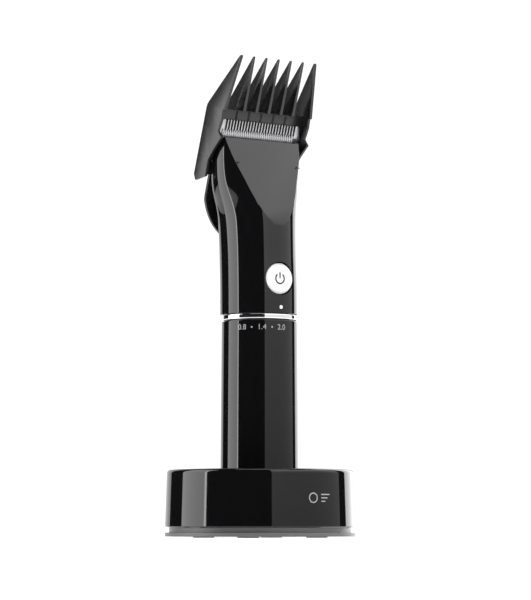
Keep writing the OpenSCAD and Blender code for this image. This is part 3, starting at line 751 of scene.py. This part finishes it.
@dataclass
class Head(Assembly):
    """The two glossy shells of the head: a round body that swells to the width of the blade."""

    plane: BladePlane = field(default_factory=BladePlane)
    # height, half width, reach to the front, reach to the rear and centre of each section, in mm
    sections: tuple[tuple[float, ...], ...] = (
        (100, 18, 18, 18, 0), (118, 18, 18, 18, 0.2), (132, 17.9, 18, 18.1, 0.8),
        (143, 18.1, 18.4, 17.6, 1.5), (150, 18.5, 18.6, 17.4, 2), (156, 19.5, 18.5, 17.1, 2.7),
        (162, 20.9, 18, 16.9, 3.3), (168, 21.8, 17, 16.2, 3.6), (176, 22.2, 16, 14.8, 3.4),
        (190, 22, 15, 13.5, 3))
    wall: float = 2.0 * MM
    seam_y: float = 8.0 * MM
    top: float = 187.1 * MM
    facet_top_y: float = -1.8 * MM
    rear_fullness: float = 2.3
    sides: int = 168
    rows: int = 46
    edge: float = 0.15 * MM
    edge_turn: float = 33

    def __post_init__(self) -> None:
        """Reads where the body starts."""
        self.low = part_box("front_housing")[0].z / MM

    def section(self, z: float) -> tuple[float, ...]:
        """The section at a height, on a smooth curve through the table."""
        table = self.sections
        last = len(table) - 2
        at = next((k for k in range(last + 1) if z <= table[k + 1][0]), last)
        a, b = table[at], table[at + 1]
        before, after = table[max(at - 1, 0)], table[min(at + 2, last + 1)]
        t = (z - a[0]) / (b[0] - a[0])
        made = []
        for k in range(1, 5):
            step = b[0] - a[0]
            start = (b[k] - before[k]) / max(b[0] - before[0], 1e-6) * step
            end = (after[k] - a[k]) / max(after[0] - a[0], 1e-6) * step
            made.append((2 * t**3 - 3 * t**2 + 1) * a[k] + (t**3 - 2 * t**2 + t) * start
                        + (3 * t**2 - 2 * t**3) * b[k] + (t**3 - t**2) * end)
        return tuple(made)

    def skin(self, turn: float, rise: float) -> Vector:
        """The place on the body for a share of the turn and of the height."""
        z = self.low + (self.sections[-1][0] - self.low) * rise
        half, front, rear, centre = self.section(z)
        angle = turn * 2 * math.pi
        c, s = math.cos(angle), math.sin(angle)
        power = 2 / self.rear_fullness if s > 0 else 1
        x = half * math.copysign(abs(c) ** power, c)
        y = (rear if s > 0 else front) * math.copysign(abs(s) ** power, s) + centre
        return Vector((x * MM, y * MM, z * MM))

    def blank(self, name: str) -> bpy.types.Object:
        """The whole round body, open below and closed at the head's top."""
        piece = sheet(name, self.sides, self.rows, self.skin, closed=True)
        slice_off(piece, Vector((0, 0, self.top)), Vector((0, 0, 1)), fill=True)
        return piece

    def open_top(self, piece: bpy.types.Object) -> None:
        """Takes the flat top away, where the blades come out."""
        with editing(piece):
            choose(piece, lambda place, normal: place.z > self.top - 0.01 * MM and abs(normal.z) > 0.9)
            bpy.ops.mesh.delete(type="FACE")

    def hollow(self, piece: bpy.types.Object) -> None:
        """Rounds the outer edges and gives the skin its wall, inwards."""
        middle = Vector((0, 0, (self.low * MM + self.top) / 2))
        face_out(piece, middle)
        modify(piece, "BEVEL", width=self.edge, segments=3, limit_method="ANGLE",
               angle_limit=math.radians(self.edge_turn), use_clamp_overlap=False)
        modify(piece, "SOLIDIFY", thickness=self.wall, offset=-1, use_even_offset=False, use_rim=True)
        face_out(piece, middle)

    def front(self) -> None:
        """The front shell with the sloping facet, the button's hole and the light's."""
        piece = self.blank("head_front_shell")
        tilt = Vector((0, -math.cos(LEAN), math.sin(LEAN)))
        slice_off(piece, Vector((0, self.facet_top_y, self.top)), tilt, fill=True)
        slice_off(piece, Vector((0, self.seam_y - 0.05 * MM, 0)), Vector((0, 1, 0)), fill=False)
        slice_off(piece, self.plane.at(0, -0.1, 0), self.plane.across, fill=False)
        self.open_top(piece)
        self.hollow(piece)
        button = self.middle("power_button")
        light = self.middle("indicator_light")
        ahead = Vector((0, -30 * MM, 0))
        drill(piece, 7.75 * MM, button + ahead, Vector((0, -8 * MM, button.z)))
        drill(piece, 1.05 * MM, light + ahead, Vector((0, -8 * MM, light.z)))
        self.keep(piece, "clipper", "black_gloss", "front_housing", smooth=22)

    def middle(self, node: str) -> Vector:
        """The point on the middle plane at the height of a node's middle."""
        low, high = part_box(node)
        return Vector((0, 0, (low.z + high.z) / 2))

    def rear(self) -> None:
        """The rear shell with the slope under the comb and four screw holes."""
        plane = self.plane
        piece = self.blank("head_rear_shell")
        slope = (plane.at(0, 8.65, -29.4) - plane.at(0, 1.6, -10)).cross(Vector((-1, 0, 0)))
        slice_off(piece, plane.at(0, 1.6, -10), slope.normalized(), fill=True)
        slice_off(piece, plane.at(0, 8.65, -29.4), plane.across, fill=True)
        slice_off(piece, Vector((0, self.seam_y, 0)), Vector((0, 1, 0)), fill=False, clear=False)
        slice_off(piece, plane.at(0, 1.1, 0), plane.across, fill=False, clear=False)
        self.open_top(piece)
        with editing(piece):
            choose(piece, lambda p, n: p.y < self.seam_y and (p - plane.at(0, 1.1, 0)).dot(plane.across) < 0)
            bpy.ops.mesh.delete(type="FACE")
        self.hollow(piece)
        for x in (-13, 13):
            for node_z in self.screw_heights():
                drill(piece, 2.3 * MM, Vector((x * MM, 10.4 * MM, node_z)), Vector((x * MM, 26 * MM, node_z)))
        self.keep(piece, "clipper", "black_gloss", "rear_housing", smooth=22)

    def screw_heights(self) -> tuple[float, float]:
        """The two heights of the housing screws."""
        low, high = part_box("housing_screws")
        head = 2.1 * MM
        return low.z + head, high.z - head

    def build(self) -> None:
        """Makes both shells."""
        self.front()
        self.rear()


# ---- Controls -------------------------------------------------------------------------------


@dataclass
class Controls(Assembly):
    """The power button with its symbol, and the lens of the charge light."""

    crown: float = 0.35 * MM
    ring_r: float = 2.35 * MM
    ring_line: float = 0.66 * MM
    gap: float = 38
    ink: float = 0.05 * MM

    def button(self) -> None:
        """The round white button, slightly crowned, with a rounded edge and its stem."""
        low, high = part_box("power_button")
        middle = Vector((0, 0, (low.z + high.z) / 2))
        radius = (high.x - low.x) / 2
        face = low.y
        front = [(radius * k / 8, face + self.crown * (k / 8) ** 2) for k in range(8)]
        edge = [(radius, face + self.crown + 0.25 * MM), (radius, face + 1.4 * MM + self.crown)]
        back = [(2.2 * MM, face + 1.4 * MM + self.crown), (2.2 * MM, high.y), (0, high.y)]
        piece = faced("power_button_cap", front + edge + back, middle)
        soften(piece, 0.22 * MM, 40)
        self.keep(piece, "button", "white_gloss", "power_button", smooth=40)
        self.face = face
        self.height = middle.z

    def symbol(self) -> None:
        """An open ring and a bar, printed on the button."""
        half = math.radians(self.gap)
        turn = 2 * math.pi - 2 * half
        inner, outer = self.ring_r - self.ring_line / 2, self.ring_r + self.ring_line / 2
        depth = self.face - 0.02 * MM
        start = math.pi / 2 + half
        steps = 40
        points = [(outer * math.cos(start + turn * k / steps), outer * math.sin(start + turn * k / steps))
                  for k in range(steps + 1)]
        points += [(inner * math.cos(start + turn * k / steps), inner * math.sin(start + turn * k / steps))
                   for k in range(steps, -1, -1)]
        ring = slab("button_symbol_ring", [Vector((x, depth, self.height + z)) for x, z in points],
                    Vector((0, 0.1 * MM, 0)), 0)
        self.keep(ring, "button", "black_satin", look="symbol")
        bar_half = self.ring_line / 2
        foot, head = 0.1 * MM, 2.9 * MM
        bar = rounded([(-bar_half, foot), (bar_half, foot), (bar_half, head), (-bar_half, head)], 0.2 * MM, 3)
        stroke = slab("button_symbol_bar", [Vector((x, depth, self.height + z)) for x, z in bar],
                      Vector((0, 0.1 * MM, 0)), 0)
        self.keep(stroke, "button", "black_satin", look="symbol")

    def light(self) -> None:
        """The charge light's domed lens."""
        low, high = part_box("indicator_light")
        radius = (high.x - low.x) / 2
        turns = [step * math.pi / 16 for step in range(9)]
        dome = [(radius * math.sin(turn), low.y + radius * 0.35 * (1 - math.cos(turn))) for turn in turns]
        piece = faced("charge_light_lens", dome + [(radius, high.y), (0, high.y)],
                      Vector((0, 0, (low.z + high.z) / 2)), 48)
        self.keep(piece, "clipper", "light_pipe", "indicator_light", smooth=40)

    def build(self) -> None:
        """Makes the controls."""
        self.button()
        self.symbol()
        self.light()


# ---- Blades ---------------------------------------------------------------------------------


@dataclass
class Blades(Assembly):
    """The toothed static blade and the moving blade in front of it. Sizes are in millimetres."""

    plane: BladePlane = field(default_factory=BladePlane)
    pitch: float = 1.6
    slots: int = 25
    tip_half: float = 20.9
    corner_half: float = 23.3
    body_half: float = 20.2
    root: float = -5.6
    cutter_half: float = 20.0
    cutter_pitch: float = 1.2
    offset: float = -1.2
    land: float = 0.7
    band_low: float = -8.45
    band_high: float = -5.95

    def toothed(self, centres: Sequence[float], tip: float, root: float, wide: float,
                narrow: float) -> list[Flat]:
        """The edge of a row of teeth from right to left.

        Args:
            centres: The middles of the slots, from right to left.
            tip: Height of the tips.
            root: Height of the slots' bottoms.
            wide: A slot's half width at the tips.
            narrow: Its half width at the bottom.

        Returns:
            The edge's points.
        """
        made: list[Flat] = []
        for x in centres:
            made += [(x + wide + 0.12, tip), (x + wide, tip - 0.35), (x + narrow, root + narrow),
                     (x + narrow * 0.6, root), (x - narrow * 0.6, root), (x - narrow, root + narrow),
                     (x - wide, tip - 0.35), (x - wide - 0.12, tip)]
        return made

    def static(self) -> None:
        """The broad static blade with slanted end teeth."""
        reach = (self.slots - 1) / 2
        centres = [(reach - k) * self.pitch for k in range(self.slots)]
        edge = self.toothed(centres, 0, self.root, 0.52, 0.45)
        left = [(-self.tip_half, 0), (-self.tip_half - 0.6, -0.4), (-self.corner_half, -6.6),
                (-self.body_half, -9), (-self.body_half, -25.8)]
        right = [(-x, s) for x, s in reversed(left)]
        points = [self.plane.at(x, 0, s) for x, s in right + edge + left]
        piece = slab("static_blade_plate", points, self.plane.across * self.plane.plate, 0.1 * MM, 2)
        for x in (-8, 8):
            drill(piece, 1.05 * MM, self.plane.at(x, -2, -23.4), self.plane.at(x, 3, -23.4))
        self.keep(piece, "clipper", "blade_steel", "static_blade")

    def moving(self) -> None:
        """The moving blade with its fine teeth; flutes() adds the fluted band across its face."""
        count = int((self.cutter_half - 0.8) / self.cutter_pitch)
        centres = [self.offset + (count - 0.5 - k) * self.cutter_pitch for k in range(2 * count)]
        edge = self.toothed(centres, -4.6, -5.9, 0.3, 0.26)
        half, narrow = self.cutter_half, 16.5
        left = [(-half, -4.6), (-half, -8.6), (-narrow, -8.6), (-narrow, -17)]
        left = [(x + self.offset, s) for x, s in left]
        right = [(2 * self.offset - x, s) for x, s in reversed(left)]
        points = [self.plane.at(x, -0.05, s) for x, s in right + edge + left]
        piece = slab("moving_blade_plate", points, self.plane.across * -self.land * MM, 0.08 * MM, 2)
        self.keep(piece, "cutter", "blade_steel", "moving_blade")

    def flutes(self) -> None:
        """The ribs across the moving blade's face."""
        deep, high = -self.land + 0.1, -1.05
        count = int(2 * self.cutter_half / self.cutter_pitch)
        first = self.offset - count * self.cutter_pitch / 2
        ridge: list[Flat] = [(first, deep)]
        for index in range(count):
            x = first + index * self.cutter_pitch
            ridge += [(x + part * self.cutter_pitch, w) for part, w in
                      ((0.12, -self.land - 0.02), (0.3, high), (0.7, high), (0.88, -self.land - 0.02))]
        ridge.append((first + count * self.cutter_pitch, deep))
        points = [self.plane.at(x, w, self.band_low) for x, w in ridge]
        piece = slab("moving_blade_ribs", points, self.plane.up * (self.band_high - self.band_low) * MM, 0)
        self.keep(piece, "cutter", "blade_steel")

    def build(self) -> None:
        """Makes both blades."""
        self.static()
        self.moving()
        self.flutes()


# ---- Comb guide -----------------------------------------------------------------------------


@dataclass
class Comb(Assembly):
    """The clip-on comb guide. Sizes are in millimetres on the blade plane's axes."""

    plane: BladePlane = field(default_factory=BladePlane)
    fins: int = 7
    fin: float = 1.5
    tip_half: float = 21.4
    inner_half: float = 23.6
    wall: float = 1.4
    reach: float = 31.7
    back: float = 11.2
    shoulder: float = 9.0
    corner: float = 0.5

    def fin_x(self, index: int) -> float:
        """The middle of a fin."""
        return -self.tip_half + self.fin / 2 + index * (2 * self.tip_half - self.fin) / (self.fins - 1)

    def fins_and_bridge(self) -> None:
        """The inner fins, which thin towards their tips, and the plates that tie them together."""
        profile = [(-4.6, self.reach - 0.9), (-4.3, self.reach), (-3.6, self.reach - 0.5), (self.back, 4.5),
                   (self.back, -28), (self.back - 1.2, -29.4), (2.4, -9.2), (1.4, -8.4), (1.4, 4.8),
                   (-4.6, 5.2)]
        for index in range(1, self.fins - 1):
            x = self.fin_x(index)
            points = [self.plane.at(x - self.fin / 2, w, s) for w, s in rounded(profile, 0.35, 3)]
            piece = slab(f"comb_fin_{index}", points, Vector((self.fin * MM, 0, 0)), 0.18 * MM, 2)
            self.taper(piece, x)
            self.keep(piece, "comb", "black_satin")
        half = self.inner_half + 0.2
        for name, w, thick, low, high in (("comb_bridge", 1.4, 1.5, -8.2, 4.8),
                                          ("comb_rear_wall", self.back - self.wall, self.wall, -29, -17)):
            corners = ((-half, low), (half, low), (half, high), (-half, high))
            points = [self.plane.at(x, w, s) for x, s in corners]
            piece = slab(name, points, self.plane.across * thick * MM, 0.2 * MM, 3)
            self.keep(piece, "comb", "black_satin")

    def taper(self, piece: bpy.types.Object, middle: float) -> None:
        """Thins a fin towards its tip."""
        for corner in piece.data.vertices:
            s = (corner.co - self.plane.at(0, 0, 0)).dot(self.plane.up) / MM
            share = min(max((s - 6) / (self.reach - 6), 0), 1)
            corner.co.x = middle * MM + (corner.co.x - middle * MM) * (1 - 0.45 * share)

    def sides_plates(self) -> None:
        """The two outer plates, which lean in towards the fin tips."""
        profile = [(-4.6, self.reach - 0.9), (-4.3, self.reach), (-3.6, self.reach - 0.5), (self.back, 4.5),
                   (self.back, -29.4), (9, -32), (1.1, -28), (1.4, -20.5), (-1.8, -14.3), (-6.3, -7.7),
                   (-2.6, -5.5), (-3.7, 0.2), (-3.3, 4.5), (-4.6, 4.9)]
        radii = [self.shoulder if spot == (self.back, 4.5) else self.corner for spot in profile]
        lean = (self.inner_half + self.wall - self.tip_half) / (self.reach - 4.5)
        for side, name in ((-1, "left"), (1, "right")):
            inner = side * self.inner_half
            points = [self.plane.at(inner, w, s) for w, s in rounded(profile, radii, 6)]
            piece = slab(f"comb_side_{name}", points, Vector((side * self.wall * MM, 0, 0)), 0.4 * MM, 3)
            for corner in piece.data.vertices:
                s = (corner.co - self.plane.at(0, 0, 0)).dot(self.plane.up) / MM
                if s > 4.5:
                    corner.co.x -= side * (s - 4.5) * lean * MM
            stands_for = ("comb_guide",) if side == -1 else ()
            self.keep(piece, "comb", "black_satin", *stands_for)

    def tongue_place(self, across: float, along: float) -> Vector:
        """A place on the tongue that clips over the back of the head."""
        half, top, drop = 17.0, 164.0, 22.3
        if along <= 0.75:
            angle = along / 0.75 * math.pi / 2
            z = top - drop * math.cos(angle)
            width = half * math.sin(angle)
        else:
            z = top + (along - 0.75) / 0.25 * 9.8
            width = half
        y = 22.35 if z < 160.5 else 22.35 - (z - 160.5) * 0.347
        x = (across * 2 - 1) * max(width, 0.05)
        return Vector((x * MM, y * MM, z * MM))

    def tongue(self) -> None:
        """The rounded tongue behind the head."""
        piece = sheet("comb_tongue", 28, 40, self.tongue_place)
        with editing(piece):
            bpy.ops.mesh.remove_doubles(threshold=0.02 * MM)
        modify(piece, "SOLIDIFY", thickness=1.4 * MM, offset=0, use_even_offset=True)
        soften(piece, 0.3 * MM, 50, 3)
        self.keep(piece, "comb", "black_satin", smooth=40)

    def build(self) -> None:
        """Makes the comb guide."""
        self.fins_and_bridge()
        self.sides_plates()
        self.tongue()


# ---- Studio ---------------------------------------------------------------------------------


@dataclass(frozen=True)
class Card:
    """A glowing card round the object, between two bearings from the camera's side."""

    name: str
    start: float
    end: float
    low: float
    high: float
    bottom_glow: float
    top_glow: float
    distance: float = 0.9


@dataclass
class Studio:
    """Pale floor, white surround, glowing cards and the camera."""

    bearing: float = -33.5
    distance: float = 1.225
    eye: float = 0.0046
    yaw: float = 0.12
    pitch: float = 4.99
    lens: float = 156.54
    floor_glow: float = 0.64
    surround: float = 1.1
    ambient: float = 0.012
    overhead_glow: float = 1.6
    cards: tuple[Card, ...] = (
        Card("backdrop_left", -168, -140, -0.2, 1.3, 1.0, 1.0),
        Card("strip_left", -108, -70, 0.0, 1.1, 3.2, 4.0),
        Card("strip_left_edge", -70, -67, 0.0, 1.1, 8.0, 8.0),
        Card("fill_right", 14, 112, 0.0, 1.4, 0.5, 3.6),
        Card("backdrop_right", 126, 166, -0.2, 1.3, 3.4, 3.4),
    )

    def direction(self, bearing: float) -> Vector:
        """The level direction at a bearing measured from the camera's side, positive to its right."""
        angle = math.radians(self.bearing + bearing)
        return Vector((math.sin(angle), -math.cos(angle), 0))

    def glow(self, name: str, low: float, high: float, bottom: float, top: float) -> bpy.types.Material:
        """A glowing surface whose strength changes evenly with height."""
        graph = Graph(name)
        place = graph.node("ShaderNodeTexCoord", output="Object")
        height = graph.node("ShaderNodeSeparateXYZ", None, {0: place}, output=2)
        strength = (height - low) * ((top - bottom) / (high - low)) + bottom
        inputs = {"Color": (1, 1, 1, 1), "Strength": strength}
        return graph.show(graph.node("ShaderNodeEmission", None, inputs))

    def card(self, card: Card) -> None:
        """Stands one card in its place, unseen by the camera."""
        half = math.radians(card.end - card.start) / 2
        middle = self.direction((card.start + card.end) / 2)
        side = Vector((middle.y, -middle.x, 0)) * card.distance * math.tan(half)
        foot = middle * card.distance
        corners = [foot - side, foot + side, foot + side, foot - side]
        heights = (card.low, card.low, card.high, card.high)
        piece = outline(card.name, [Vector((p.x, p.y, z)) for p, z in zip(corners, heights)])
        glow = self.glow(card.name, card.low, card.high, card.bottom_glow, card.top_glow)
        piece.data.materials.append(glow)
        piece.visible_camera = False
        piece.visible_shadow = False

    def overhead(self) -> None:
        """A broad soft card above."""
        bpy.ops.mesh.primitive_circle_add(vertices=48, radius=0.55, fill_type="NGON",
                                          location=(-0.1, -0.25, 1.5))
        piece = bpy.context.object
        piece.name = "overhead_card"
        piece.data.materials.append(self.glow("overhead_glow", 0, 1, self.overhead_glow, self.overhead_glow))
        piece.visible_camera = False
        piece.visible_shadow = False

    def floor(self) -> None:
        """The pale floor, faintly glossy and glowing, with painted shade near the object where its glow is
        weaker, and the white surround that only the camera sees.
        """
        bpy.ops.mesh.primitive_circle_add(vertices=96, radius=5, fill_type="NGON")
        floor = bpy.context.object
        floor.name = "floor"
        graph = Graph("pale_floor")
        tone = graph.blend(graph.noise(0.4), (0.9, 0.9, 0.9), (0.92, 0.92, 0.92))
        matt = graph.node("ShaderNodeBsdfDiffuse", None, {"Color": tone})
        shine = graph.node("ShaderNodeBsdfGlossy", None, {"Color": (1, 1, 1, 1), "Roughness": 0.12})
        # Painted light: the floor's own glow grows from 0.12 m to 0.9 m out from the middle, which paints
        # shade on the floor near the object.
        far = graph.node("ShaderNodeVectorMath", {"operation": "LENGTH"}, {0: graph.place()}, output=1)
        painted_glow_outward = graph.node("ShaderNodeMapRange", {"clamp": True},
                              {0: far, 1: 0.12, 2: 0.9, 3: 0.0, 4: 1.0})
        glow = graph.node("ShaderNodeEmission", None,
                          {"Color": (1, 1, 1, 1), "Strength": painted_glow_outward * 0.6 + self.floor_glow})
        base = graph.node("ShaderNodeAddShader", None, {0: matt, 1: glow})
        mixed = graph.node("ShaderNodeMixShader", None, {0: 0.1, 1: base, 2: shine})
        floor.data.materials.append(graph.show(mixed))
        bpy.ops.mesh.primitive_uv_sphere_add(segments=48, ring_count=24, radius=6)
        dome = bpy.context.object
        dome.name = "surround"
        dome.data.materials.append(self.glow("surround_glow", 0, 1, self.surround, self.surround))
        for ray in ("diffuse", "glossy", "transmission", "volume_scatter", "shadow"):
            setattr(dome, f"visible_{ray}", False)

    def camera(self) -> None:
        """The camera, low and slightly tilted up."""
        data = bpy.data.cameras.new("camera")
        data.lens = self.lens
        data.sensor_width = 36
        data.clip_start, data.clip_end = 0.05, 20
        camera = bpy.data.objects.new("camera", data)
        place = self.direction(0) * self.distance
        camera.location = (place.x, place.y, self.eye)
        camera.rotation_euler = (math.radians(90 + self.pitch), 0, math.radians(self.bearing - self.yaw))
        bpy.context.scene.collection.objects.link(camera)
        bpy.context.scene.camera = camera

    def build(self) -> None:
        """Sets up the studio."""
        self.camera()
        scene = bpy.context.scene
        scene.view_settings.view_transform = "Standard"
        world = bpy.data.worlds.new("dim_room")
        world.use_nodes = True
        world.node_tree.nodes["Background"].inputs[0].default_value = (1, 1, 1, 1)
        world.node_tree.nodes["Background"].inputs[1].default_value = self.ambient
        scene.world = world
        self.floor()
        for card in self.cards:
            self.card(card)
        self.overhead()


NODE_SLOTS = {
    "stand_weight": "steel", "stand_feet": "rubber", "stand_screws": "steel", "stand_board": "pcb",
    "charge_pins": "brass", "charge_pads": "brass", "battery_cell": "cell_wrap", "battery_tabs": "steel",
    "main_board": "pcb", "tact_switch": "steel", "motor_can": "steel", "motor_end_cap": "nylon",
    "motor_bracket": "steel", "motor_screws": "steel", "housing_screws": "steel", "blade_screws": "steel",
    "tension_spring": "steel", "detent_spring": "steel", "dial_cam": "nylon", "adjust_rod": "nylon",
    "cutter_carriage": "nylon", "motor_shaft": "steel", "eccentric_cam": "nylon"}
PLAIN_SLOT = "black_satin"


def dress_frame() -> None:
    """Gives every carried-over CAD node its finish."""
    for name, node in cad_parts.items():
        slot = NODE_SLOTS.get(name, PLAIN_SLOT)
        node.data.materials.clear()
        node.data.materials.append(MATERIALS[slot])
        LOG.info("%s keeps its mesh in %s", name, slot)


def main() -> None:
    """Builds the studio, each sub-assembly in order and the frame's own finishes."""
    logging.basicConfig(level=logging.INFO, format="%(name)s: %(message)s")
    Studio().build()
    dress_frame()
    for assembly in (Stand(), Grip(), Head(), Controls(), Blades(), Comb()):
        assembly.build()
        LOG.info("%s made %d pieces", type(assembly).__name__, len(assembly.made))


if __name__ == "__main__":
    main()
